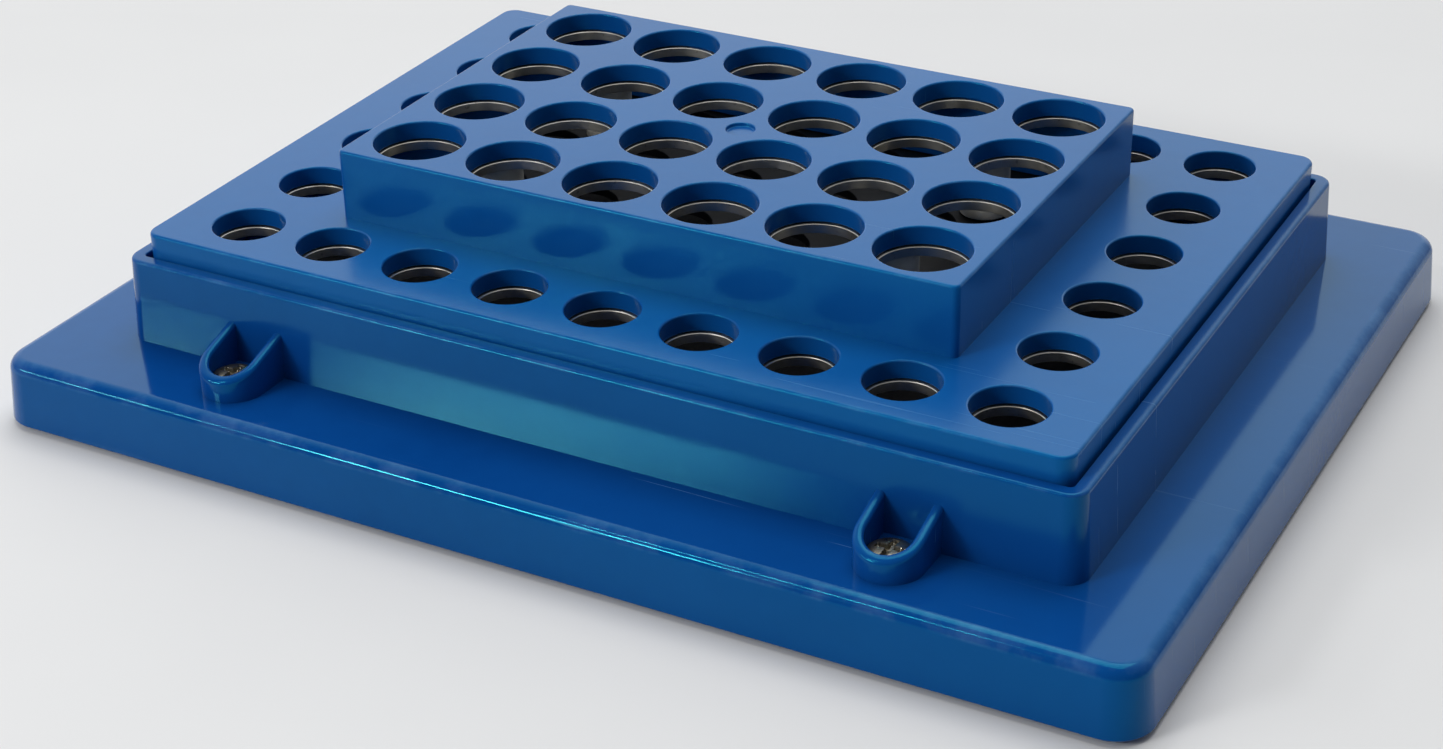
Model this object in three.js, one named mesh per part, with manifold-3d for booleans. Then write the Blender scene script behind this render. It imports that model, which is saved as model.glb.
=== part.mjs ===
// Stepped test tube rack on a wide tray. Millimetres, +Z up, front towards -Y.
// The origin is at the centre of the footprint, on the surface that the feet stand on.
import * as THREE from 'three';
import { mergeVertices } from 'three/addons/utils/BufferGeometryUtils.js';
import Module from 'manifold-3d';

const wasm = await Module();
wasm.setup();

// ---- driving dimensions -------------------------------------------------------------------
const GAP = 0.3;                 // clearance between neighbouring pieces
const PITCH = 20;                // spacing of the large holes, both ways
const TIER_COLUMNS = 6;
const TIER_ROWS = 4;
const TIER_HOLE_R = 8.4;         // for 16 mm tubes
const RING_COLUMNS = 9;
const RING_ROWS = 6;
const RING_PITCH_X = 18.66;      // spacing of the small holes along the long sides
const RING_PITCH_Y = 20.2;       // and along the short sides
const RING_HOLE_R = 6.6;         // for 12 to 13 mm tubes
const PLATE_STEP = 0.35;         // a metal plate's hole is this much smaller in radius

// half lengths along X and Y
const TRAY_TOP = [109.8, 83.1];
const TRAY_FLARE = 1.0;          // how much wider the tray's skirt is at its lower edge
const HOUSING_TOP = [92.7, 64.7];
const HOUSING_FLARE = 0.8;
const DECK = [89.7, 62.0];
const TIER = [61.0, 40.4];

// heights above the surface that the rack stands on
const Z_SKIRT = 1.0;
const Z_TRAY = 13.4;
const Z_LEDGE = 29.4;
const Z_DECK = 33.9;
const Z_TIER = 47.1;

const TRAY_WALL = 2.6;
const TRAY_SKIN = 3.0;
const TRAY_CORNER_R = 6;
const TRAY_EDGE_R = 2.3;
const HOUSING_WALL = 2.6;
const HOUSING_CORNER_R = 3.4;
const SHELF_TOP = 21.6;          // ledge inside the housing that carries the tube carrier
const SHELF_HEIGHT = 2.4;
const SHELF_WIDTH = 3.0;
const MAT_THICKNESS = 1.7;
const SKIN = 3.4;                // top skin of the deck and of the tier
const DECK_WALL = 2.2;
const TIER_WALL = 1.5;
const DECK_CORNER_R = 3.0;
const TIER_CORNER_R = 1.2;
const PLATE = 1.8;               // aluminium plates
const DIMPLE_R = 2.7;            // moulding gate recess in the middle of the tier's top
const DIMPLE_DEPTH = 0.7;

const LUG_X = 64;
const LUG_R = 6.0;
const LUG_REACH = 12.4;          // how far a lug stands out of the housing's wall
const LUG_BORE_R = 4.3;
const LUG_FLOOR = 0.9;
const LUG_RIM_WALL = 9.0;        // rim height above the tray at the wall
const LUG_RIM_FRONT = 4.0;       // and at the lug's nose
const LUG_ROOT = 1.5;            // how far a lug runs into the housing's wall
const LUG_SCREW_HOLE_R = 2.1;

const FOOT_AT = [97, 70];
const FOOT_R = 7.5;
const FOOT_HEIGHT = 5.0;
const FOOT_RECESS_R = 4.4;
const FOOT_RECESS = 2.6;
const FOOT_HOLE_R = 2.0;
const FOOT_CHAMFER = 0.8;
const FOOT_TAPER = 0.4;
const FOOT_POST_R = 6.0;         // posts under the tray that the feet screw onto
const LUG_POST_R = 4.5;          // posts under the tray that the lug screws bite into
const LUG_POST_LOW = 4.4;
const TIER_BOSS_AT = [2 * PITCH, PITCH];
const TIER_BOSS_R = 3.0;
const SPACER_R = 4.6;
const DECK_SCREW_X = 84.2;
const DECK_SCREW_Y = 56.4;

const GUIDE_LAP = 2.2;           // how far the guide plate reaches under the deck's edge

const INNER_CORNER_R = 1.2;      // corners inside the housing
const PLATE_CORNER_R = 1.0;
const WINDOW_CORNER_R = 0.6;     // corners of the opening in the deck under the tier
const TIER_INNER_CORNER_R = 0.4;
const SMALL_PILOT_R = 1.3;       // pilot holes in the covers' bosses
const SMALL_SCREW_HOLE_R = 1.4;  // clearance holes in the metal plates
const PILOT_ROOF = 0.8;          // plastic left above a pilot hole in the deck
const OVERRUN = 1;               // how far a cutting tool, or a piece to be joined, runs past a face

// Pan-head screws: head radius and height, shank radius and length.
const HEAD_HEIGHT = 1.8;
const FOOT_SCREW = { headR: 3.6, shankR: 1.4, length: 8.4, pilotR: 1.75 };
const LUG_SCREW = { headR: 3.9, shankR: 1.6, length: 9.5, pilotR: 1.9 };
const TIER_SCREW = { headR: 2.8, shankR: 1.0, length: 10 };
const DECK_SCREW = { headR: 2.4, shankR: 1.0, length: 4.6 };
const FOOT_SCREW_Z = 0.5;        // underside of a foot screw's head, inside the foot's recess
const HEAD_CROWN = 0.82;         // a head's flat top, as a share of its radius
const HEAD_EDGE = 0.35;          // and the height of its rounded edge, as a share of its own

const FINE = 14;                 // sides of a hole in a cover
const COARSE = 12;               // sides of a hole in a metal plate
const SMALL = 10;                // sides of a boss, a screw or a pilot hole

// ---- materials ----------------------------------------------------------------------------
const finish = (color, roughness, metalness) => new THREE.MeshStandardMaterial({ color, roughness, metalness });
const BLUE = finish(0x11509a, 0.3, 0.0);
const ALUMINIUM = finish(0xc4c2ba, 0.35, 1.0);
const STEEL = finish(0xa9a9a4, 0.3, 1.0);
const RUBBER = finish(0x141414, 0.8, 0.0);
const BLACK_SHEET = finish(0x17171a, 0.55, 0.0);
const NYLON = finish(0xd9d6cc, 0.5, 0.0);

// ---- geometry helpers ---------------------------------------------------------------------
// Shared vertices only, and no triangle that has collapsed at a pole.
function welded(geometry) {
  const bare = geometry.clone();
  bare.deleteAttribute('normal');
  bare.deleteAttribute('uv');
  const merged = mergeVertices(bare, 1e-4);
  const index = merged.index.array;
  const kept = [];
  for (let i = 0; i < index.length; i += 3) {
    const [a, b, c] = index.slice(i, i + 3);
    if (a !== b && b !== c && c !== a) kept.push(a, b, c);
  }
  merged.setIndex(kept);
  return merged;
}

function solid(geometry) {
  const merged = welded(geometry);
  return new wasm.Manifold(new wasm.Mesh({
    numProp: 3,
    vertProperties: new Float32Array(merged.attributes.position.array),
    triVerts: new Uint32Array(merged.index.array),
  }));
}

function toGeometry(manifold) {
  const { vertProperties, triVerts } = manifold.getMesh();
  const geometry = new THREE.BufferGeometry();
  geometry.setAttribute('position', new THREE.BufferAttribute(vertProperties, 3));
  geometry.setIndex(new THREE.BufferAttribute(triVerts, 1));
  return geometry;
}

const joined = (parts) => parts.reduce((whole, part) => whole.add(part));
const cut = (body, tools) => tools.reduce((rest, tool) => rest.subtract(tool), body);

function circle(x, y, radius, sides) {
  const points = [];
  for (let i = 0; i < sides; i += 1) {
    const angle = (2 * Math.PI * i) / sides;
    points.push(new THREE.Vector2(x + radius * Math.cos(angle), y + radius * Math.sin(angle)));
  }
  return points;
}

function roundedRectangle([halfX, halfY], radius, steps = 3) {
  const points = [];
  const corners = [[1, 1], [-1, 1], [-1, -1], [1, -1]];
  corners.forEach(([sx, sy], quarter) => {
    for (let i = 0; i <= steps; i += 1) {
      const angle = (Math.PI / 2) * (quarter + i / steps);
      points.push(new THREE.Vector2(
        sx * (halfX - radius) + radius * Math.cos(angle),
        sy * (halfY - radius) + radius * Math.sin(angle),
      ));
    }
  });
  return points;
}

// A flat plate between two heights, with holes through it.
function slab(outline, low, high, holes = []) {
  const shape = new THREE.Shape(outline);
  holes.forEach((hole) => shape.holes.push(new THREE.Path(hole)));
  return new THREE.ExtrudeGeometry(shape, { depth: high - low, bevelEnabled: false }).translate(0, 0, low);
}

const rod = (x, y, radius, low, high, sides = SMALL) => slab(circle(x, y, radius, sides), low, high);

// Leans the walls outwards towards the lower edge, as a moulding's draft does.
function flared(geometry, low, high, growth) {
  const position = geometry.attributes.position;
  for (let i = 0; i < position.count; i += 1) {
    const shift = (growth * (high - position.getZ(i))) / (high - low);
    position.setX(i, position.getX(i) + Math.sign(position.getX(i)) * shift);
    position.setY(i, position.getY(i) + Math.sign(position.getY(i)) * shift);
  }
  return geometry;
}

// A body of revolution about a vertical line; the profile is [radius, height] pairs.
function turned(profile, x, y, sides = SMALL) {
  const points = profile.map(([radius, height]) => new THREE.Vector2(radius, height));
  return new THREE.LatheGeometry(points, sides).rotateX(Math.PI / 2).translate(x, y, 0);
}

const grown = ([halfX, halfY], by) => [halfX + by, halfY + by];
const fourCorners = ([x, y]) => [[-x, -y], [x, -y], [x, y], [-x, y]];

// ---- hole patterns ------------------------------------------------------------------------
function tierHoles() {
  const centres = [];
  for (let row = 0; row < TIER_ROWS; row += 1) {
    for (let column = 0; column < TIER_COLUMNS; column += 1) {
      centres.push([(column - (TIER_COLUMNS - 1) / 2) * PITCH, (row - (TIER_ROWS - 1) / 2) * PITCH]);
    }
  }
  return centres;
}

function ringHoles() {
  const centres = [];
  for (let row = 0; row < RING_ROWS; row += 1) {
    for (let column = 0; column < RING_COLUMNS; column += 1) {
      const onEdge = row === 0 || row === RING_ROWS - 1 || column === 0 || column === RING_COLUMNS - 1;
      if (!onEdge) continue;
      const x = (column - (RING_COLUMNS - 1) / 2) * RING_PITCH_X;
      const y = (row - (RING_ROWS - 1) / 2) * RING_PITCH_Y;
      centres.push([x, y]);
    }
  }
  return centres;
}

const holes = (centres, radius, sides) => centres.map(([x, y]) => circle(x, y, radius, sides));
const deckScrewPlaces = [
  ...fourCorners([DECK_SCREW_X, DECK_SCREW_Y]),
  [-DECK_SCREW_X, 0],
  [DECK_SCREW_X, 0],
];

// ---- tray -----------------------------------------------------------------------------------
const lugY = HOUSING_TOP[1] + HOUSING_FLARE + LUG_REACH - LUG_R;
const lugPlaces = fourCorners([LUG_X, lugY]);
const trayUnder = Z_TRAY - TRAY_SKIN;
const postLow = FOOT_HEIGHT + GAP;

function baseTray() {
  const shape = new THREE.Shape(roundedRectangle(TRAY_TOP, TRAY_CORNER_R, 5));
  const below = Z_SKIRT - 2 * TRAY_EDGE_R;
  const block = new THREE.ExtrudeGeometry(shape, {
    depth: Z_TRAY - below - 2 * TRAY_EDGE_R,
    bevelThickness: TRAY_EDGE_R,
    bevelSize: TRAY_EDGE_R,
    bevelOffset: -TRAY_EDGE_R,
    bevelSegments: 3,
  }).translate(0, 0, below + TRAY_EDGE_R);
  flared(block, Z_SKIRT, Z_TRAY, TRAY_FLARE);
  const waste = slab(
    roundedRectangle(grown(TRAY_TOP, 2 * TRAY_CORNER_R), TRAY_CORNER_R),
    below - OVERRUN,
    Z_SKIRT,
  );
  const hollow = slab(
    roundedRectangle(grown(TRAY_TOP, -TRAY_WALL), TRAY_CORNER_R - TRAY_WALL),
    below - OVERRUN,
    trayUnder,
  );
  const shell = cut(solid(block), [solid(waste), solid(hollow)]);
  const posts = [
    ...lugPlaces.map(([x, y]) => solid(rod(x, y, LUG_POST_R, LUG_POST_LOW, trayUnder + OVERRUN))),
    ...fourCorners(FOOT_AT).map(([x, y]) => (
      solid(rod(x, y, FOOT_POST_R, postLow, trayUnder + OVERRUN))
    )),
  ];
  const pilots = [
    ...lugPlaces.map(([x, y]) => (
      solid(rod(x, y, LUG_SCREW.pilotR, LUG_POST_LOW - OVERRUN, Z_TRAY + OVERRUN))
    )),
    ...fourCorners(FOOT_AT).map(([x, y]) => (
      solid(rod(x, y, FOOT_SCREW.pilotR, postLow - OVERRUN, trayUnder + OVERRUN))
    )),
  ];
  return toGeometry(cut(joined([shell, ...posts]), pilots));
}

function rubberFoot(x, y) {
  return turned([
    [FOOT_HOLE_R, FOOT_RECESS],
    [FOOT_RECESS_R, FOOT_RECESS],
    [FOOT_RECESS_R, 0],
    [FOOT_R - FOOT_CHAMFER, 0],
    [FOOT_R, FOOT_CHAMFER],
    [FOOT_R - FOOT_TAPER, FOOT_HEIGHT],
    [FOOT_HOLE_R, FOOT_HEIGHT],
    [FOOT_HOLE_R, FOOT_RECESS],
  ], x, y, FINE);
}

// A pan-head screw. up is +1 when the point is above the head and -1 when it is below.
function panScrew(x, y, headZ, up, { headR, shankR, length }) {
  const profile = [
    [0, 0],
    [headR * HEAD_CROWN, 0],
    [headR, HEAD_HEIGHT * HEAD_EDGE],
    [headR, HEAD_HEIGHT],
    [shankR, HEAD_HEIGHT],
    [shankR, HEAD_HEIGHT + length - shankR],
    [0, HEAD_HEIGHT + length],
  ].map(([radius, height]) => [radius, headZ + up * height]);
  return turned(up > 0 ? profile : profile.reverse(), x, y);
}

const footScrew = (x, y) => panScrew(x, y, FOOT_SCREW_Z, 1, FOOT_SCREW);

// ---- housing --------------------------------------------------------------------------------
const housingLow = Z_TRAY + GAP;
const housingInner = grown(HOUSING_TOP, -HOUSING_WALL);

// Outline of a lug: a half-round nose on a straight neck that runs into the wall.
function lugOutline(x, side, radius, back) {
  const points = [];
  const steps = 8;
  for (let i = 0; i <= steps; i += 1) {
    const angle = (Math.PI * i) / steps;
    points.push(new THREE.Vector2(x + radius * Math.cos(angle), side * (lugY + radius * Math.sin(angle))));
  }
  points.push(new THREE.Vector2(x - radius, side * back), new THREE.Vector2(x + radius, side * back));
  return side > 0 ? points : points.reverse();
}

function lug(x, side) {
  const rimHigh = Z_TRAY + LUG_RIM_WALL;
  const wallY = HOUSING_TOP[1] + HOUSING_FLARE;
  const slope = Math.atan((LUG_RIM_WALL - LUG_RIM_FRONT) / LUG_REACH);
  const slopeCut = new THREE.BoxGeometry(4 * LUG_R, 4 * LUG_REACH, 2 * LUG_REACH)
    .translate(0, 0, LUG_REACH)
    .rotateX(-side * slope)
    .translate(x, side * wallY, rimHigh);
  const body = slab(lugOutline(x, side, LUG_R, wallY - LUG_ROOT), housingLow, rimHigh + OVERRUN);
  return solid(body).subtract(solid(slopeCut));
}

function housing() {
  const walls = flared(
    slab(roundedRectangle(HOUSING_TOP, HOUSING_CORNER_R), housingLow, Z_LEDGE),
    housingLow,
    Z_LEDGE,
    HOUSING_FLARE,
  );
  const room = slab(roundedRectangle(housingInner, INNER_CORNER_R), housingLow - OVERRUN, Z_LEDGE + OVERRUN);
  const shelf = slab(
    roundedRectangle(grown(housingInner, HOUSING_WALL / 2), INNER_CORNER_R),
    SHELF_TOP - SHELF_HEIGHT,
    SHELF_TOP,
    [roundedRectangle(grown(housingInner, -SHELF_WIDTH), INNER_CORNER_R)],
  );
  const lugs = lugPlaces.map(([x, y]) => lug(x, Math.sign(y)));
  const shell = joined([solid(walls), ...lugs]);
  const bores = lugPlaces.flatMap(([x, y]) => [
    solid(slab(
      lugOutline(x, Math.sign(y), LUG_BORE_R, HOUSING_TOP[1] + HOUSING_FLARE),
      housingLow + LUG_FLOOR,
      Z_LEDGE,
    )),
    solid(rod(x, y, LUG_SCREW_HOLE_R, housingLow - OVERRUN, Z_LEDGE)),
  ]);
  return toGeometry(cut(shell, [solid(room), ...bores]).add(solid(shelf)));
}

const lugScrewTop = housingLow + LUG_FLOOR + GAP + HEAD_HEIGHT;
const lugScrew = (x, y) => panScrew(x, y, lugScrewTop, -1, LUG_SCREW);

const restMat = () => slab(
  roundedRectangle(grown(housingInner, -GAP), PLATE_CORNER_R),
  housingLow,
  housingLow + MAT_THICKNESS,
);

// ---- tube carrier ---------------------------------------------------------------------------
const deckSkinLow = Z_DECK - SKIN;
const deckPlateTop = deckSkinLow - GAP;
const deckPlateLow = deckPlateTop - PLATE;
const tierSkinLow = Z_TIER - SKIN;
const tierPlateTop = tierSkinLow - GAP;
const tierPlateLow = tierPlateTop - PLATE;
const tierInner = grown(TIER, -TIER_WALL);
const guideSize = grown(tierInner, GUIDE_LAP);
const [stripX, stripY] = grown(DECK, -DECK_WALL - GAP);     // outer edges of the metal strips
const [windowX, windowY] = grown(guideSize, GAP);           // and their inner edges
const sideY = windowY - GAP;

function deckCover() {
  const skin = slab(
    roundedRectangle(DECK, DECK_CORNER_R),
    deckSkinLow,
    Z_DECK,
    [...holes(ringHoles(), RING_HOLE_R, FINE), roundedRectangle(grown(tierInner, -GAP), WINDOW_CORNER_R)],
  );
  const skirt = slab(
    roundedRectangle(DECK, DECK_CORNER_R),
    SHELF_TOP + GAP,
    deckSkinLow + OVERRUN,
    [roundedRectangle(grown(DECK, -DECK_WALL), PLATE_CORNER_R)],
  );
  const pilots = deckScrewPlaces.map(([x, y]) => (
    solid(rod(x, y, SMALL_PILOT_R, deckSkinLow - OVERRUN, Z_DECK - PILOT_ROOF))
  ));
  return toGeometry(cut(solid(skin).add(solid(skirt)), pilots));
}

// The metal under the deck's small holes is four strips around the guide plate.
function deckStrip([lowX, lowY], [highX, highY]) {
  const inside = ([x, y]) => x > lowX && x < highX && y > lowY && y < highY;
  const centre = new THREE.Vector2((lowX + highX) / 2, (lowY + highY) / 2);
  const outline = roundedRectangle([(highX - lowX) / 2, (highY - lowY) / 2], PLATE_CORNER_R);
  return slab(outline.map((point) => point.add(centre)), deckPlateLow, deckPlateTop, [
    ...holes(ringHoles().filter(inside), RING_HOLE_R - PLATE_STEP, COARSE),
    ...holes(deckScrewPlaces.filter(inside), SMALL_SCREW_HOLE_R, SMALL),
  ]);
}

// The lower plate that guides the large tubes. It laps under the deck's edge, and the screws
// through it pull the tier down onto the deck.
function guidePlate() {
  return slab(roundedRectangle(guideSize, PLATE_CORNER_R), deckPlateLow, deckPlateTop, [
    ...holes(tierHoles(), TIER_HOLE_R - PLATE_STEP, COARSE),
    ...holes(fourCorners(TIER_BOSS_AT), SMALL_SCREW_HOLE_R, SMALL),
  ]);
}

function topTier() {
  const skin = slab(
    roundedRectangle(TIER, TIER_CORNER_R),
    tierSkinLow,
    Z_TIER,
    holes(tierHoles(), TIER_HOLE_R, FINE),
  );
  const walls = slab(
    roundedRectangle(TIER, TIER_CORNER_R),
    Z_DECK + GAP,
    tierSkinLow + OVERRUN,
    [roundedRectangle(tierInner, TIER_INNER_CORNER_R)],
  );
  const bosses = fourCorners(TIER_BOSS_AT).map(([x, y]) => (
    solid(rod(x, y, TIER_BOSS_R, deckPlateTop + GAP, tierSkinLow + OVERRUN))
  ));
  const pilots = fourCorners(TIER_BOSS_AT).map(([x, y]) => (
    solid(rod(x, y, SMALL_PILOT_R, deckPlateTop, tierSkinLow - OVERRUN))
  ));
  const dimple = solid(rod(0, 0, DIMPLE_R, Z_TIER - DIMPLE_DEPTH, Z_TIER + OVERRUN));
  return toGeometry(cut(joined([solid(skin), solid(walls), ...bosses]), [...pilots, dimple]));
}

function tierPlate() {
  const outline = roundedRectangle(grown(tierInner, -GAP), TIER_INNER_CORNER_R);
  return slab(outline, tierPlateLow, tierPlateTop, [
    ...holes(tierHoles(), TIER_HOLE_R - PLATE_STEP, COARSE),
    ...holes(fourCorners(TIER_BOSS_AT), TIER_BOSS_R + GAP, SMALL),
  ]);
}

function tierSpacer(x, y) {
  const bore = TIER_BOSS_R + GAP;
  return slab(
    circle(x, y, SPACER_R, SMALL),
    deckPlateTop + GAP,
    tierPlateLow - GAP,
    [circle(x, y, bore, SMALL)],
  );
}

const underPlate = deckPlateLow - GAP - HEAD_HEIGHT;
const tierScrew = (x, y) => panScrew(x, y, underPlate, 1, TIER_SCREW);
const deckScrew = (x, y) => panScrew(x, y, underPlate, 1, DECK_SCREW);

// ---- assembly -------------------------------------------------------------------------------
const rack = new THREE.Group();

function place(name, geometry, material) {
  const mesh = new THREE.Mesh(geometry, material);
  mesh.name = name;
  rack.add(mesh);
}

function placeEach(name, places, make, material) {
  places.forEach(([x, y], i) => place(`${name}_${i + 1}`, make(x, y), material));
}

place('base_tray', baseTray(), BLUE);
placeEach('rubber_foot', fourCorners(FOOT_AT), rubberFoot, RUBBER);
placeEach('foot_screw', fourCorners(FOOT_AT), footScrew, STEEL);
place('housing', housing(), BLUE);
placeEach('lug_screw', lugPlaces, lugScrew, STEEL);
place('rest_mat', restMat(), RUBBER);
place('deck_cover', deckCover(), BLUE);
place('deck_strip_front', deckStrip([-stripX, -stripY], [stripX, -windowY]), ALUMINIUM);
place('deck_strip_back', deckStrip([-stripX, windowY], [stripX, stripY]), ALUMINIUM);
place('deck_strip_left', deckStrip([-stripX, -sideY], [-windowX, sideY]), ALUMINIUM);
place('deck_strip_right', deckStrip([windowX, -sideY], [stripX, sideY]), ALUMINIUM);
place('guide_plate', guidePlate(), BLACK_SHEET);
placeEach('deck_plate_screw', deckScrewPlaces, deckScrew, STEEL);
place('top_tier', topTier(), BLUE);
place('tier_plate', tierPlate(), ALUMINIUM);
placeEach('tier_spacer', fourCorners(TIER_BOSS_AT), tierSpacer, NYLON);
placeEach('tier_screw', fourCorners(TIER_BOSS_AT), tierScrew, STEEL);

export default rack;
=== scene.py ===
"""Looks of the stepped test tube rack: moulded covers, drilled plates, screws, rubber and light.

Lengths of the rack and its profiles are in millimetres, and Builder turns them into metres.
Profiles are lists of (offset or radius, height, wear).
"""
import math

import bmesh
import bpy
from mathutils import Matrix, Vector

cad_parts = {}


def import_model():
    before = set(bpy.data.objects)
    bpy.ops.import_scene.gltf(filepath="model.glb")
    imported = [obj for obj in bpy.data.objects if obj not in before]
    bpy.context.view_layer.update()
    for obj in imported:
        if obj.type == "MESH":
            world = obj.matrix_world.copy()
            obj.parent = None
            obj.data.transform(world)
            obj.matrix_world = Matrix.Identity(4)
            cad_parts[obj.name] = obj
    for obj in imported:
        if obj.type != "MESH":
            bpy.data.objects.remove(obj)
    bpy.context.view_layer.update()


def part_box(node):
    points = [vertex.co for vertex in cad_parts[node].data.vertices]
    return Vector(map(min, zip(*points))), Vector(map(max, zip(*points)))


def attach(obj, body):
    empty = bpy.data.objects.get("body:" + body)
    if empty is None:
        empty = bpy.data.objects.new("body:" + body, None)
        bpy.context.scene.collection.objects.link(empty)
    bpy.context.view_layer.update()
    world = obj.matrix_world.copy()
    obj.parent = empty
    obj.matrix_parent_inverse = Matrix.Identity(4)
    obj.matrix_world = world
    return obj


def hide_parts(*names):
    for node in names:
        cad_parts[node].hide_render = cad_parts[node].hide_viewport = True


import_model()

MM = 0.001


# ---- sizes read from the CAD frame ------------------------------------------------------------
def low(node):
    """Lowest corner of a CAD node, in millimetres."""
    return Vector(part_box(node)[0]) / MM


def high(node):
    return Vector(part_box(node)[1]) / MM


def centre(node):
    return (low(node) + high(node)) / 2


def half(node):
    """Half lengths of a CAD node along X and Y."""
    size = high(node) - low(node)
    return size.x / 2, size.y / 2


PITCH = 20.0
TIER_HOLES = [((c - 2.5) * PITCH, (r - 1.5) * PITCH) for r in range(4) for c in range(6)]
RING_PITCH = (18.66, 20.2)
RING_HOLES = [
    ((c - 4) * RING_PITCH[0], (r - 2.5) * RING_PITCH[1])
    for r in range(6) for c in range(9)
    if r in (0, 5) or c in (0, 8)
]
TIER_HOLE_R = 8.4
RING_HOLE_R = 6.6
HOLE_EDGE = 0.35               # rounding of a cover's hole
HOLE_BURR = 0.15               # and of its lower edge
PLATE_STEP = 0.35              # a plate's hole is this much smaller in radius than the cover's
PLATE_CHAMFER = 0.12
SKIN = 3.4                     # thickness of the covers' tops
TRAY_SKIN = 3.0
TRAY_WALL = 2.6
TRAY_FLARE = 1.0               # how much wider the tray is at its lower edge
TRAY_CORNER_R = 6.0
HOUSING_DEPTH = 64.7           # half depth of the housing's upper edge, without its lugs
HOUSING_FLARE = 0.8
HOUSING_WALL = 2.6
HOUSING_CORNER_R = 3.4
SHELF_LOW, SHELF_HIGH = 19.2, 21.6   # ledge inside the housing that carries the deck
SHELF_WIDTH = 3.0
DECK_WALL = 2.2
DECK_CORNER_R = 3.0
TIER_WALL = 1.5
TIER_CORNER_R = 1.2
BOSS_R = 3.0
BOSS_PILOT_R = 1.3
DIMPLE_R = 2.7                 # moulding gate recess in the middle of the tier's top
DIMPLE_DEPTH = 0.7
FOOT_AT = (97.0, 70.0)
FOOT_R = 7.5
FOOT_TAPER = 0.4               # how much narrower a foot is at its top
FOOT_RECESS_R = 4.4
FOOT_RECESS = 2.6
FOOT_BORE_R = 2.0
FOOT_POST = (6.0, 1.75, 5.0)   # posts under the tray: radius, pilot radius, height of the tip
LUG_POST = (4.5, 1.9, 4.4)
LUG_X, LUG_Y = 64.0, 71.9      # middle of a lug's nose
LUG_R = 6.0
LUG_THICK = 1.9
LUG_RIM_WALL = 9.0             # height of a lug's rim above the tray at the wall
LUG_RIM_FRONT = 4.0            # and at its nose
LUG_REACH = 12.4
CORNERS = [(-1, -1), (1, -1), (1, 1), (-1, 1)]
BOSSES = [(sx * 2 * PITCH, sy * PITCH) for sx, sy in CORNERS]


# ---- mesh building ----------------------------------------------------------------------------
SHARPEST_CORNER_R = 0.2
SMOOTH_ANGLE = 38              # degrees; faces that meet more sharply keep their edge
FLAT_WEIGHT = 1e4              # how much more a cap's normal counts than its rounded edge's


def arc(across, up, radius, start, end, steps=4):
    """Profile points (offset, height, wear) on an arc about (across, up); angles in degrees."""
    points = []
    for i in range(steps + 1):
        angle = math.radians(start + (end - start) * i / steps)
        wear = 1.0 if 0 < i < steps else 0.0
        points.append((across + radius * math.cos(angle), up + radius * math.sin(angle), wear))
    return points


def circle(x, y, radius, sides):
    steps = (2 * math.pi * i / sides for i in range(sides))
    return [(x + radius * math.cos(a), y + radius * math.sin(a)) for a in steps]


def rounded(half_size, radius, steps=8):
    """Outline of a rectangle with rounded corners about the origin."""
    radius = max(radius, SHARPEST_CORNER_R)
    points = []
    for quarter, (sx, sy) in enumerate([(1, 1), (-1, 1), (-1, -1), (1, -1)]):
        for i in range(steps + 1):
            angle = math.pi / 2 * (quarter + i / steps)
            points.append((
                sx * (half_size[0] - radius) + radius * math.cos(angle),
                sy * (half_size[1] - radius) + radius * math.sin(angle),
            ))
    return points


class Builder:
    """One closed mesh made of rings of vertices, the walls between them and flat caps."""

    def __init__(self):
        self.bm = bmesh.new()
        self.wear = self.bm.verts.layers.float.new("wear")
        self.flat = self.bm.faces.layers.int.new("flat")

    def ring(self, points, z, wear=0.0):
        """z is one height, or a height for each point."""
        heights = z if isinstance(z, list) else [z] * len(points)
        ring = []
        for (x, y), height in zip(points, heights):
            vert = self.bm.verts.new((x * MM, y * MM, height * MM))
            vert[self.wear] = wear
            ring.append(vert)
        return ring

    def wall(self, a, b):
        for i in range(len(a)):
            j = (i + 1) % len(a)
            self.bm.faces.new((a[i], a[j], b[j], b[i]))

    def walls(self, rings):
        for a, b in zip(rings, rings[1:]):
            self.wall(a, b)
        return rings[0], rings[-1]

    def edge(self, half_size, corner, profile, steps=8, about=(0.0, 0.0)):
        """The rim of a rounded rectangle, swept along its profile; returns first and last ring."""
        rings = []
        for d, z, wear in profile:
            outline = rounded((half_size[0] + d, half_size[1] + d), corner + d, steps)
            rings.append(self.ring([(x + about[0], y + about[1]) for x, y in outline], z, wear))
        return self.walls(rings)

    def bore(self, x, y, profile, sides):
        """A round wall about a vertical line, swept along its profile."""
        return self.walls([self.ring(circle(x, y, r, sides), z, wear) for r, z, wear in profile])

    def cap(self, rings, up=True):
        """A flat face bounded by the first ring, with the other rings as holes in it."""
        edges = []
        for ring in rings:
            for a, b in zip(ring, ring[1:] + ring[:1]):
                edges.append(self.bm.edges.get((a, b)) or self.bm.edges.new((a, b)))
        normal = (0, 0, 1 if up else -1)
        made = bmesh.ops.triangle_fill(
            self.bm, use_beauty=True, use_dissolve=False, edges=edges, normal=normal)
        for item in made["geom"]:
            if isinstance(item, bmesh.types.BMFace):
                item[self.flat] = 1

    def lid(self, ring):
        self.bm.faces.new(ring)[self.flat] = 1

    def piece(self, name, body, material, node):
        """Makes the object, puts it on its CAD body and hides the CAD node it stands for."""
        bmesh.ops.recalc_face_normals(self.bm, faces=self.bm.faces)
        mesh = bpy.data.meshes.new(name)
        self.bm.to_mesh(mesh)
        self.bm.free()
        smooth(mesh)
        mesh.materials.append(material)
        obj = bpy.data.objects.new(name, mesh)
        bpy.context.scene.collection.objects.link(obj)
        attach(obj, body)
        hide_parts(node)


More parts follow.
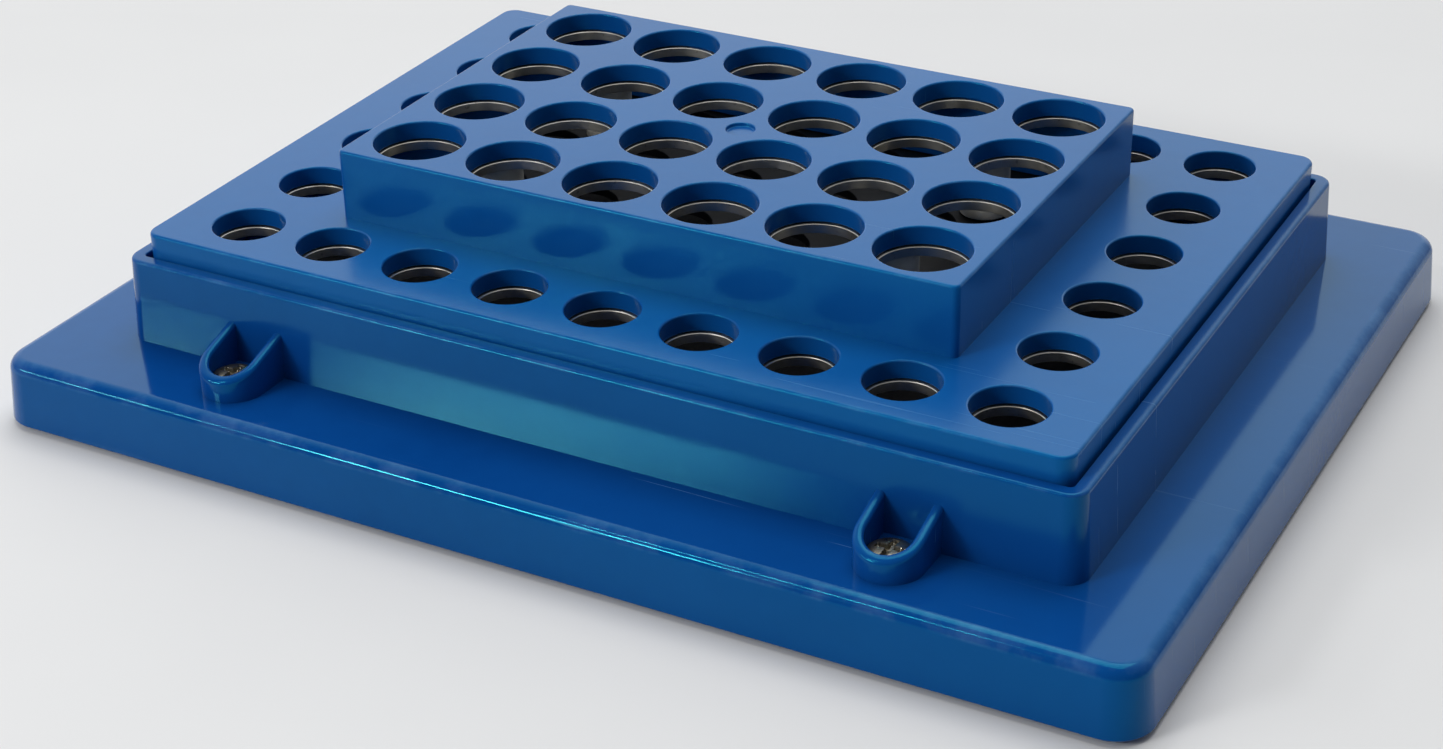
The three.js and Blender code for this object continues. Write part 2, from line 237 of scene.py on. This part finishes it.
def smooth(mesh):
    """Corner normals that leave flat faces flat and roll smoothly over the rounded edges."""
    limit = math.cos(math.radians(SMOOTH_ANGLE))
    flat = mesh.attributes["flat"].data
    faces = [(p.normal.copy(), p.area * (FLAT_WEIGHT if flat[p.index].value else 1))
             for p in mesh.polygons]
    around = [[] for _ in mesh.vertices]
    for polygon in mesh.polygons:
        polygon.use_smooth = True
        for vertex in polygon.vertices:
            around[vertex].append(polygon.index)
    normals = []
    for polygon in mesh.polygons:
        own = faces[polygon.index][0]
        for vertex in polygon.vertices:
            total = Vector()
            for index in around[vertex]:
                normal, weight = faces[index]
                if normal.dot(own) > limit:
                    total += normal * weight
            normals.append(total.normalized() if total.length > 0 else own)
    mesh.normals_split_custom_set(normals)


# ---- materials --------------------------------------------------------------------------------
class Material:
    """A node material: add() makes a node and takes a value or another node's output per input."""

    def __init__(self, name):
        self.material = bpy.data.materials.new(name)
        self.material.use_nodes = True
        self.tree = self.material.node_tree
        self.tree.nodes.clear()
        self.place = self.add("ShaderNodeTexCoord").outputs["Object"]

    def add(self, kind, inputs=None, **settings):
        node = self.tree.nodes.new(kind)
        for key, value in settings.items():
            setattr(node, key, value)
        for key, value in (inputs or {}).items():
            if isinstance(value, bpy.types.NodeSocket):
                self.tree.links.new(value, node.inputs[key])
            else:
                node.inputs[key].default_value = value
        return node

    def noise(self, scale, detail=3.0, rough=0.5, place=None, distortion=0.0):
        return self.add("ShaderNodeTexNoise", {
            "Vector": place or self.place, "Scale": scale, "Detail": detail,
            "Roughness": rough, "Distortion": distortion,
        }).outputs[0]

    def spread(self, value, start, end, to_start=0.0, to_end=1.0):
        """Maps start..end to to_start..to_end, and clamps."""
        return self.add("ShaderNodeMapRange", {
            "Value": value, "From Min": start, "From Max": end,
            "To Min": to_start, "To Max": to_end,
        }).outputs[0]

    def math(self, operation, a, b):
        return self.add("ShaderNodeMath", {0: a, 1: b}, operation=operation).outputs[0]

    def mix(self, factor, a, b):
        node = self.add("ShaderNodeMix", {0: factor, 6: a, 7: b}, data_type="RGBA")
        return node.outputs[2]

    def turned(self, angle, stretch):
        """Coordinates turned about Z, then stretched, for marks that run one way."""
        return self.add("ShaderNodeMapping", {
            "Vector": self.place, "Rotation": (0.0, 0.0, math.radians(angle)), "Scale": stretch,
        }).outputs[0]

    def scratches(self, angle, spacing, fine=0.70):
        """Sparse hairlines along one direction: 1 on a line, 0 elsewhere."""
        lines = self.noise(1.0, 2.0, 0.6, self.turned(angle, (14.0, spacing, 40.0)), 0.25)
        return self.spread(lines, fine, fine + 0.03)

    def bump(self, height, depth, strength=1.0, under=None):
        inputs = {"Height": height, "Distance": depth, "Strength": strength}
        if under is not None:
            inputs["Normal"] = under
        return self.add("ShaderNodeBump", inputs).outputs[0]

    def surface(self, **inputs):
        """Ends the material in a shader; inputs are its sockets, such as base_color."""
        named = {key.replace("_", " ").title().replace("Ior", "IOR"): value
                 for key, value in inputs.items()}
        shader = self.add("ShaderNodeBsdfPrincipled", named)
        self.add("ShaderNodeOutputMaterial", {"Surface": shader.outputs[0]})
        return self.material


def colour(red, green, blue):
    return (red, green, blue, 1.0)


def moulded_plastic(name, base, gloss, grain, marks):
    """Blue moulded plastic: cloudy pigment, faint orange peel, handling marks, worn edges."""
    m = Material(name)
    red, green, blue = base
    cloud = m.noise(16.0, 4.0, 0.55)
    mottle = m.noise(240.0, 3.0, 0.6)
    lines = m.math("MAXIMUM", m.scratches(23, 900.0), m.scratches(-38, 760.0, 0.72))
    patch = m.spread(m.noise(9.0, 2.0), 0.42, 0.62)
    lines = m.math("MULTIPLY", lines, patch)
    wear = m.add("ShaderNodeAttribute", attribute_name="wear").outputs["Fac"]
    rubbed = m.math("MULTIPLY", wear, m.spread(m.noise(130.0, 4.0, 0.65), 0.45, 0.75))
    deep = colour(red * 0.86, green * 0.90, blue * 0.93)
    light = colour(red * 1.2 + 0.001, green * 1.10, blue * 1.05)
    fleck = colour(red * 1.5, green * 1.22, blue * 1.15)
    scuff = colour(red + 0.10, green + 0.16, blue + 0.20)
    tint = m.mix(m.spread(cloud, 0.35, 0.65), deep, light)
    tint = m.mix(m.spread(mottle, 0.3, 0.7, 0.0, 0.22), tint, fleck)
    tint = m.mix(m.math("MULTIPLY", lines, 0.30 * marks), tint, scuff)
    tint = m.mix(m.math("MULTIPLY", rubbed, 0.35), tint, scuff)
    rough = m.math("ADD", cloud, m.math("MULTIPLY", mottle, 0.35))
    rough = m.spread(rough, 0.45, 0.85, gloss, gloss * 1.5)
    rough = m.math("ADD", rough, m.math("MULTIPLY", lines, 0.18 * marks))
    peel = m.bump(m.noise(330.0, 2.0, 0.5), 0.00002, grain)
    fine = m.bump(m.noise(2600.0, 2.0, 0.6), 0.000006, grain * 1.6, peel)
    cut = m.bump(m.math("SUBTRACT", 1.0, lines), 0.000012, 0.5 * marks, fine)
    return m.surface(base_color=tint, roughness=rough, ior=1.5, specular_ior_level=0.4,
                     specular_tint=colour(0.05, 0.92, 1.0), normal=cut)


def satin_aluminium():
    """Drilled sheet: rolled grain along X, cloudy oxide, dull spots."""
    m = Material("satin_aluminium")
    grain = m.noise(1.0, 3.0, 0.6, m.turned(2, (60.0, 5200.0, 5200.0)))
    cloud = m.noise(55.0, 4.0, 0.6)
    spots = m.spread(m.noise(900.0, 2.0), 0.66, 0.74, 0.0, 0.5)
    tint = m.mix(m.spread(cloud, 0.35, 0.65), colour(0.74, 0.70, 0.60), colour(0.88, 0.86, 0.80))
    tint = m.mix(spots, tint, colour(0.42, 0.39, 0.33))
    rough = m.spread(m.math("ADD", grain, cloud), 0.7, 1.3, 0.28, 0.46)
    return m.surface(base_color=tint, metallic=1.0, roughness=rough,
                     normal=m.bump(grain, 0.000012, 0.6))


def zinc_steel(name, tone):
    """Plated screw: tone is its colour, with tarnish in cloudy spots and a fine grain."""
    m = Material(name)
    cloud = m.noise(700.0, 4.0, 0.6)
    dark = colour(*(c * 0.55 for c in tone))
    tint = m.mix(m.spread(cloud, 0.38, 0.68), colour(*tone), dark)
    rough = m.spread(cloud, 0.3, 0.7, 0.24, 0.42)
    return m.surface(base_color=tint, metallic=1.0, roughness=rough,
                     normal=m.bump(m.noise(3200.0, 2.0), 0.00001, 0.5))


def black_rubber(name, rib):
    """Matt rubber with fine ribs across X, dust in the pores and cloudy bloom."""
    m = Material(name)
    bloom = m.noise(70.0, 4.0, 0.6)
    dust = m.spread(m.noise(1900.0, 2.0), 0.62, 0.72)
    tint = m.mix(m.spread(bloom, 0.35, 0.7), colour(0.006, 0.006, 0.007), colour(0.014, 0.014, 0.016))
    tint = m.mix(m.math("MULTIPLY", dust, 0.25), tint, colour(0.06, 0.06, 0.058))
    waves = m.add("ShaderNodeTexWave", {"Vector": m.place, "Scale": rib}, bands_direction="X")
    ribs = m.bump(waves.outputs["Fac"], 0.0002, 0.5)
    normal = m.bump(m.noise(1500.0, 3.0, 0.6), 0.00004, 0.7, ribs)
    return m.surface(base_color=tint, roughness=m.spread(bloom, 0.3, 0.7, 0.62, 0.82),
                     specular_ior_level=0.25, normal=normal)


def shade_black_sheet():
    """Near-black plastic sheet, painted shade: its dark colour stands in for the shade inside the
    holes above it; fine grain, cloudy gloss, a few dust specks.
    """
    m = Material("shade_black_sheet")
    cloud = m.noise(80.0, 4.0, 0.6)
    specks = m.spread(m.noise(2100.0, 2.0), 0.68, 0.76, 0.0, 0.3)
    tint = m.mix(m.spread(cloud, 0.35, 0.7), colour(0.004, 0.004, 0.005), colour(0.009, 0.009, 0.010))
    tint = m.mix(specks, tint, colour(0.05, 0.05, 0.05))
    return m.surface(base_color=tint, roughness=m.spread(cloud, 0.3, 0.7, 0.45, 0.6),
                     specular_ior_level=0.3, normal=m.bump(m.noise(1600.0, 3.0), 0.00002, 0.5))


def natural_nylon():
    """Cream nylon with a cloudy tone and a fine moulded grain."""
    m = Material("natural_nylon")
    cloud = m.noise(260.0, 4.0, 0.6)
    tint = m.mix(m.spread(cloud, 0.35, 0.65), colour(0.62, 0.58, 0.48), colour(0.76, 0.73, 0.64))
    return m.surface(base_color=tint, roughness=m.spread(cloud, 0.3, 0.7, 0.35, 0.5),
                     normal=m.bump(m.noise(1800.0), 0.00002, 0.5))


def studio_floor():
    """Pale board with the faintest clouds."""
    m = Material("studio_floor")
    cloud = m.noise(6.0, 4.0, 0.6)
    tint = m.mix(m.spread(cloud, 0.3, 0.7), colour(0.74, 0.74, 0.74), colour(0.77, 0.77, 0.768))
    return m.surface(base_color=tint, roughness=0.75,
                     normal=m.bump(m.noise(500.0), 0.00003, 0.3))


TRAY_BLUE = (0.0017, 0.057, 0.258)
COVER_BLUE = (0.0023, 0.080, 0.315)
TRAY = moulded_plastic("tray_gloss_blue", TRAY_BLUE, 0.07, 0.35, 1.0)
HOUSING = moulded_plastic("housing_gloss_blue", TRAY_BLUE, 0.11, 0.5, 0.8)
COVER = moulded_plastic("cover_grained_blue", COVER_BLUE, 0.17, 0.8, 0.7)
PLATE = satin_aluminium()
LUG_ZINC = zinc_steel("lug_zinc", (0.36, 0.33, 0.26))
ZINC = zinc_steel("plated_steel", (0.66, 0.65, 0.62))
MAT = black_rubber("mat_rubber_black", 160.0)
FOOT = black_rubber("foot_rubber_black", 420.0)
NYLON = natural_nylon()
# near-black sheet for the lower plate: painted shade inside the tier's holes
SHADE_BLACK_SHEET = shade_black_sheet()


# ---- tray -------------------------------------------------------------------------------------
def base_tray():
    top, bottom = high("base_tray").z, low("base_tray").z
    size = [h - TRAY_FLARE for h in half("base_tray")]
    under, edge, lip, fillet = top - TRAY_SKIN, 2.3, 0.35, 1.2

    def draft(z):
        return TRAY_FLARE * (top - z) / (top - bottom)

    roll = [(d + draft(z), z, w) for d, z, w in arc(-edge, top - edge, edge, 90, 0, 8)]
    out, back = draft(bottom), -TRAY_WALL
    profile = roll + arc(out - lip, bottom + lip, lip, 0, -90, 3)
    profile += arc(back + lip, bottom + lip, lip, -90, -180, 3)
    profile += arc(back - fillet, under - fillet, fillet, 0, 90, 4)
    b = Builder()
    rim, inner = b.edge(size, TRAY_CORNER_R, profile, 12)
    b.cap([rim])
    posts = []
    for sx, sy in CORNERS:
        posts.append(post(b, sx * LUG_X, sy * LUG_Y, LUG_POST, under))
        posts.append(post(b, sx * FOOT_AT[0], sy * FOOT_AT[1], FOOT_POST, under))
    b.cap([inner] + posts, up=False)
    b.piece("tray_moulding", "base", TRAY, "base_tray")


def post(b, x, y, size, root):
    """A blind screw post that hangs from a flat underside; returns its root ring."""
    radius, pilot, tip = size
    profile = [(radius + 0.8, root, 0), (radius + 0.2, root - 0.3, 0), (radius, root - 0.9, 0)]
    profile += arc(radius - 0.3, tip + 0.3, 0.3, 0, -90, 2)
    profile += [(pilot + 0.3, tip, 0), (pilot, tip + 0.3, 0), (pilot, root + 0.6, 0)]
    first, last = b.bore(x, y, profile, 32)
    b.lid(last)
    return first


def rubber_feet():
    lip, heel, inner = 0.4, 0.8, FOOT_RECESS_R
    crown = FOOT_R - FOOT_TAPER - lip
    for i in range(1, 5):
        node = f"rubber_foot_{i}"
        mid, tall = centre(node), high(node).z
        profile = [(FOOT_BORE_R, tall, 0)] + arc(crown, tall - lip, lip, 90, 0, 3)
        profile += arc(FOOT_R - heel, heel, heel, 0, -90, 4)
        profile += arc(inner + lip, lip, lip, -90, -180, 3)
        profile += [(inner, FOOT_RECESS, 0), (FOOT_BORE_R, FOOT_RECESS, 0)]
        b = Builder()
        first, last = b.bore(mid.x, mid.y, profile, 48)
        b.wall(last, first)
        b.piece(f"foot_{i}", "base", FOOT, node)


# ---- screws -----------------------------------------------------------------------------------
HEAD_HEIGHT = 1.8


def recess_depth(radius, angle, reach):
    """Depth of a cross recess at a polar place on a screw head."""
    spoke = min(abs(math.sin(angle)), abs(math.cos(angle))) * radius
    if radius > reach:
        return 0.0
    side = max(0.0, min(1.0, (0.17 * reach + 0.12 - spoke) / 0.1))
    return side * 0.42 * reach * (1 - 0.35 * radius / reach)


def pan_screw(name, body, node, material, up, head_r, shank_r):
    """A pan-head screw in the place of its CAD node; up is +1 if its point is above its head."""
    mid = centre(node)
    head_z = low(node).z if up > 0 else high(node).z
    length = high(node).z - low(node).z
    reach, crown, sides, steps = head_r * 0.62, head_r * 0.97, 64, 22
    b = Builder()
    rings = []
    for i in range(1, steps + 1):
        radius = crown * i / steps
        dome = 0.42 * HEAD_HEIGHT * (radius / head_r) ** 3.2
        heights = []
        for k in range(sides):
            depth = recess_depth(radius, 2 * math.pi * k / sides, reach)
            heights.append(head_z + up * (dome + min(depth, HEAD_HEIGHT * 0.7)))
        rings.append(b.ring(circle(mid.x, mid.y, radius, sides), heights))
    outline = [(head_r, 0.62 * HEAD_HEIGHT), (head_r, 0.9 * HEAD_HEIGHT), (head_r - 0.15, HEAD_HEIGHT)]
    outline += [(shank_r, HEAD_HEIGHT), (shank_r, length - shank_r), (0.15, length)]
    rings += [b.ring(circle(mid.x, mid.y, r, sides), head_z + up * z) for r, z in outline]
    first, last = b.walls(rings)
    b.bm.faces.new(first)
    b.bm.faces.new(last)
    b.piece(name, body, material, node)


def all_screws():
    for i in range(1, 5):
        pan_screw(f"screw_lug_{i}", "base", f"lug_screw_{i}", LUG_ZINC, -1, 3.9, 1.6)
        pan_screw(f"screw_foot_{i}", "base", f"foot_screw_{i}", ZINC, 1, 3.6, 1.4)
        pan_screw(f"screw_tier_{i}", "carrier", f"tier_screw_{i}", ZINC, 1, 2.8, 1.0)
    for i in range(1, 7):
        node = f"deck_plate_screw_{i}"
        pan_screw(f"screw_deck_{i}", "carrier", node, ZINC, 1, 2.4, 1.0)


# ---- housing ----------------------------------------------------------------------------------
def lug_path(x, wall_y):
    """Places round a lug's wall, each with the direction in which it faces, in degrees."""
    root = wall_y - 1.5
    nose = []
    for degrees in (7.5 * i for i in range(1, 24)):
        turn = math.radians(degrees)
        nose.append((x + LUG_R * math.cos(turn), LUG_Y + LUG_R * math.sin(turn), degrees))
    start = [(x + LUG_R, root, 0), (x + LUG_R, LUG_Y, 0)]
    return start + nose + [(x - LUG_R, LUG_Y, 180), (x - LUG_R, root, 180)]


def lug_section():
    """Section of a lug's wall: (inset, height above or below the rim), None at its foot."""
    edge, mid = 0.75, LUG_THICK / 2
    outer = arc(edge - mid, -edge, edge, 180, 90, 3)
    inner = arc(mid - edge, -edge, edge, 90, 0, 3)
    return [(0.0, None)] + [(mid + d, h) for d, h, _ in outer + inner] + [(LUG_THICK, None)]


def lug_wall(b, x, side, foot, tray, wall_y):
    """The U-shaped wall of a screw lug, its rim sloping down towards the nose."""
    slope = (LUG_RIM_WALL - LUG_RIM_FRONT) / LUG_REACH
    rings = []
    for px, py, degrees in lug_path(x, wall_y):
        out = (math.cos(math.radians(degrees)), math.sin(math.radians(degrees)))
        points, heights = [], []
        for inset, rise in lug_section():
            qx, qy = px - inset * out[0], py - inset * out[1]
            rim = tray + LUG_RIM_WALL - slope * max(qy - wall_y, 0.0)
            points.append((qx, side * qy))
            heights.append(foot if rise is None else rim + rise)
        rings.append(b.ring(points, heights))
    b.walls(rings)
    b.bm.faces.new(rings[0])
    b.bm.faces.new(rings[-1])


def lug_floor(b, x, side, foot, wall_y):
    """The thin floor of a lug, with the hole for its screw."""
    radius, thick, hole_r = 4.9, 1.2, 2.1
    turns = (math.pi * i / 24 for i in range(25))
    outline = [(x + radius * math.cos(a), side * (LUG_Y + radius * math.sin(a))) for a in turns]
    outline += [(x - radius, side * (wall_y - 1.0)), (x + radius, side * (wall_y - 1.0))]
    levels = (foot + thick, foot)
    outer = [b.ring(outline, z) for z in levels]
    hole = [b.ring(circle(x, side * LUG_Y, hole_r, 24), z) for z in levels]
    b.walls(outer)
    b.walls(hole)
    b.cap([outer[0], hole[0]])
    b.cap([outer[1], hole[1]], up=False)


def housing():
    tray = high("base_tray").z
    top, foot = high("housing").z, tray - 0.02
    size = (half("housing")[0] - HOUSING_FLARE, HOUSING_DEPTH)
    inner, shelf, edge, lip = -HOUSING_WALL, -HOUSING_WALL - SHELF_WIDTH, 0.65, 0.3
    profile = arc(-edge, top - edge, edge, 90, 0, 5)
    profile += [(HOUSING_FLARE, foot, 0), (inner, foot, 0), (inner, SHELF_LOW, 0)]
    profile += [(shelf, SHELF_LOW, 0), (shelf, SHELF_HIGH, 0), (inner, SHELF_HIGH, 0)]
    profile += arc(inner + lip, top - lip, lip, 180, 90, 3)
    b = Builder()
    first, last = b.edge(size, HOUSING_CORNER_R, profile, 8)
    b.wall(last, first)
    wall_y = HOUSING_DEPTH + HOUSING_FLARE
    for x in (-LUG_X, LUG_X):
        for side in (-1, 1):
            lug_wall(b, x, side, foot, tray, wall_y)
            lug_floor(b, x, side, foot, wall_y)
    b.piece("housing_moulding", "base", HOUSING, "housing")


def rest_mat():
    edge, gap = 0.3, 0.3
    bottom, top = low("rest_mat").z - gap, high("rest_mat").z
    profile = arc(-edge, top - edge, edge, 90, 0, 2) + [(0, bottom, 0)]
    b = Builder()
    first, last = b.edge(half("rest_mat"), 1.2, profile, 4)
    b.cap([first])
    b.cap([last], up=False)
    b.piece("rubber_mat", "base", MAT, "rest_mat")


# ---- tube carrier -----------------------------------------------------------------------------
def cover_hole(b, x, y, radius, top, under):
    profile = arc(radius + HOLE_EDGE, top - HOLE_EDGE, HOLE_EDGE, 90, 180, 4)
    profile += arc(radius + HOLE_BURR, under + HOLE_BURR, HOLE_BURR, 180, 270, 2)
    return b.bore(x, y, profile, 56)


def deck_cover():
    top, bottom = high("deck_cover").z, low("deck_cover").z
    under, edge, lip, fillet = top - SKIN, 0.6, 0.3, 0.6
    profile = arc(-edge, top - edge, edge, 90, 0, 5) + arc(-lip, bottom + lip, lip, 0, -90, 2)
    profile += arc(lip - DECK_WALL, bottom + lip, lip, -90, -180, 2)
    profile += arc(-DECK_WALL - fillet, under - fillet, fillet, 0, 90, 3)
    b = Builder()
    rim, inner = b.edge(half("deck_cover"), DECK_CORNER_R, profile, 8)
    opening = [h - 1.8 for h in half("top_tier")]
    window = b.edge(opening, 0.6, [(0, top, 0), (0, under, 0)], 3)
    holes = [cover_hole(b, x, y, RING_HOLE_R, top, under) for x, y in RING_HOLES]
    b.cap([rim, window[0]] + [first for first, _ in holes])
    b.cap([inner, window[1]] + [last for _, last in holes], up=False)
    b.piece("deck_moulding", "carrier", COVER, "deck_cover")


def gate_dimple(b, top):
    """The round moulding recess in the middle of the tier's top; returns its upper ring."""
    edge, fillet = 0.25, 0.3
    profile = arc(DIMPLE_R + edge, top - edge, edge, 90, 180, 3)
    profile += arc(DIMPLE_R - fillet, top - DIMPLE_DEPTH + fillet, fillet, 0, -90, 3)
    first, last = b.bore(0, 0, profile, 32)
    b.lid(last)
    return first


def top_tier():
    top, bottom = high("top_tier").z, high("deck_cover").z
    under, edge, fillet = top - SKIN, 0.5, 0.5
    profile = arc(-edge, top - edge, edge, 90, 0, 5) + [(0, bottom, 0), (-TIER_WALL, bottom, 0)]
    profile += arc(-TIER_WALL - fillet, under - fillet, fillet, 0, 90, 3)
    b = Builder()
    rim, inner = b.edge(half("top_tier"), TIER_CORNER_R, profile, 6)
    holes = [cover_hole(b, x, y, TIER_HOLE_R, top, under) for x, y in TIER_HOLES]
    dimple = gate_dimple(b, top)
    tip = low("top_tier").z
    bosses = [post(b, x, y, (BOSS_R, BOSS_PILOT_R, tip), under) for x, y in BOSSES]
    b.cap([rim, dimple] + [first for first, _ in holes])
    b.cap([inner] + bosses + [last for _, last in holes], up=False)
    b.piece("tier_moulding", "carrier", COVER, "top_tier")


def plate_hole(b, x, y, radius, top, bottom, sides):
    cut = PLATE_CHAMFER
    profile = [(radius + cut, top, 0), (radius, top - cut, 1)]
    profile += [(radius, bottom + cut, 1), (radius + cut, bottom, 0)]
    return b.bore(x, y, profile, sides)


def inside(node, places):
    """Those of the places that lie within a CAD node, seen from above."""
    a, z = low(node), high(node)
    return [(x, y) for x, y in places if a.x < x < z.x and a.y < y < z.y]


def drilled_plate(name, node, corner, material, slot, *drilled):
    """A thin plate in the place of its CAD node; each of drilled is (places, radius)."""
    top, bottom, mid = high(node).z, low(node).z, centre(node)
    cut = PLATE_CHAMFER
    profile = [(-cut, top, 0), (0, top - cut, 1), (0, bottom + cut, 1), (-cut, bottom, 0)]
    b = Builder()
    outer, outer_low = b.edge(half(node), corner, profile, 4, (mid.x, mid.y))
    loops = [
        plate_hole(b, x, y, radius, top, bottom, 48 if radius > 3 else 24)
        for places, radius in drilled for x, y in places
    ]
    b.cap([outer] + [first for first, _ in loops])
    b.cap([outer_low] + [last for _, last in loops], up=False)
    b.piece(name, "carrier", material, node)


def plates():
    deck_screws = [centre(f"deck_plate_screw_{i}").xy for i in range(1, 7)]
    small_r, large_r = RING_HOLE_R - PLATE_STEP, TIER_HOLE_R - PLATE_STEP
    screw_r, boss_gap = 1.4, 0.3
    for side in ("front", "back", "left", "right"):
        node = f"deck_strip_{side}"
        drilled_plate(f"strip_{side}", node, 1.0, PLATE, "tube_plate",
                      (inside(node, RING_HOLES), small_r), (inside(node, deck_screws), screw_r))
    # the lower plate is near black: painted shade that darkens the hole interiors
    drilled_plate("lower_plate", "guide_plate", 1.0, SHADE_BLACK_SHEET, "guide_sheet",
                  (TIER_HOLES, large_r), (BOSSES, screw_r))
    drilled_plate("upper_plate", "tier_plate", 0.4, PLATE, "tube_plate",
                  (TIER_HOLES, large_r), (BOSSES, BOSS_R + boss_gap))


def spacers():
    bore_r, radius, edge = 3.3, 4.3, 0.3
    for i in range(1, 5):
        node = f"tier_spacer_{i}"
        mid, top, bottom = centre(node), high(node).z, low(node).z
        profile = [(bore_r, top, 0)] + arc(radius, top - edge, edge, 90, 0, 3)
        profile += arc(radius, bottom + edge, edge, 0, -90, 3) + [(bore_r, bottom, 0)]
        b = Builder()
        first, last = b.bore(mid.x, mid.y, profile, 40)
        b.wall(last, first)
        b.piece(f"spacer_{i}", "carrier", NYLON, node)


# ---- studio -----------------------------------------------------------------------------------
AIM = Vector((-0.014, -0.065, 0.015))        # what the softboxes are aimed at, in metres
FLOOR_R = 4000                               # millimetres


def camera():
    """A long lens at the photograph's viewing angle."""
    data = bpy.data.cameras.new("camera")
    data.lens = 65.52
    data.sensor_width = 36.0
    data.sensor_fit = "HORIZONTAL"
    data.dof.use_dof = False
    obj = bpy.data.objects.new("camera", data)
    bpy.context.scene.collection.objects.link(obj)
    ahead = Vector((-0.421157, 0.76563, -0.486248)).normalized()
    right = Vector((0.880828, 0.473094, -0.017999)).normalized()
    up = right.cross(ahead).normalized()
    turn = Matrix((right, up, -ahead)).transposed().to_4x4()
    obj.matrix_world = Matrix.Translation((0.208073, -0.387363, 0.240636)) @ turn
    bpy.context.scene.camera = obj


def panel(name, turn, lift, distance, size, radiance):
    """A softbox aimed at the rack, turned left of its front and lifted above the floor by degrees."""
    data = bpy.data.lights.new(name, "AREA")
    data.shape = "RECTANGLE"
    data.size, data.size_y = size
    data.energy = radiance * math.pi * size[0] * size[1]
    obj = bpy.data.objects.new(name, data)
    bpy.context.scene.collection.objects.link(obj)
    turn, lift = math.radians(turn), math.radians(lift)
    level = math.cos(lift)
    towards = Vector((-math.sin(turn) * level, -math.cos(turn) * level, math.sin(lift)))
    obj.location = AIM + towards * distance
    obj.rotation_euler = (-towards).to_track_quat("-Z", "Y").to_euler()


def world():
    """A pale studio, brighter behind the rack on its left and darker towards its right front."""
    scene_world = bpy.data.worlds.new("studio")
    bpy.context.scene.world = scene_world
    scene_world.use_nodes = True
    tree = scene_world.node_tree
    tree.nodes.clear()
    place = tree.nodes.new("ShaderNodeTexCoord")
    along = tree.nodes.new("ShaderNodeVectorMath")
    along.operation = "DOT_PRODUCT"
    along.inputs[1].default_value = Vector((-0.42, 0.77, 0.49)).normalized()
    spread = tree.nodes.new("ShaderNodeMapRange")
    for key, value in {"From Min": 0.35, "From Max": 0.93, "To Min": 0.14, "To Max": 1.35}.items():
        spread.inputs[key].default_value = value
    back = tree.nodes.new("ShaderNodeBackground")
    back.inputs["Color"].default_value = colour(0.97, 0.985, 1.0)
    out = tree.nodes.new("ShaderNodeOutputWorld")
    tree.links.new(place.outputs["Generated"], along.inputs[0])
    tree.links.new(along.outputs["Value"], spread.inputs["Value"])
    tree.links.new(spread.outputs[0], back.inputs["Strength"])
    tree.links.new(back.outputs[0], out.inputs["Surface"])


def lights():
    panel("key", 31, 25, 1.2, (0.29, 0.085), 56.0)
    panel("side_strip", 48, 22, 1.2, (0.30, 0.018), 70.0)
    panel("high_strip", 29, 46, 1.2, (0.28, 0.018), 80.0)
    panel("top_soft", 180, 78, 1.3, (0.9, 0.9), 2.6)


def floor():
    b = Builder()
    b.lid(b.ring(circle(0, 0, FLOOR_R, 96), 0.0))
    mesh = bpy.data.meshes.new("floor")
    b.bm.to_mesh(mesh)
    b.bm.free()
    mesh.materials.append(studio_floor())
    obj = bpy.data.objects.new("floor", mesh)
    bpy.context.scene.collection.objects.link(obj)


camera()
world()
lights()
floor()
base_tray()
rubber_feet()
housing()
rest_mat()
all_screws()
deck_cover()
top_tier()
plates()
spacers()
bpy.context.scene.view_settings.view_transform = "Standard"
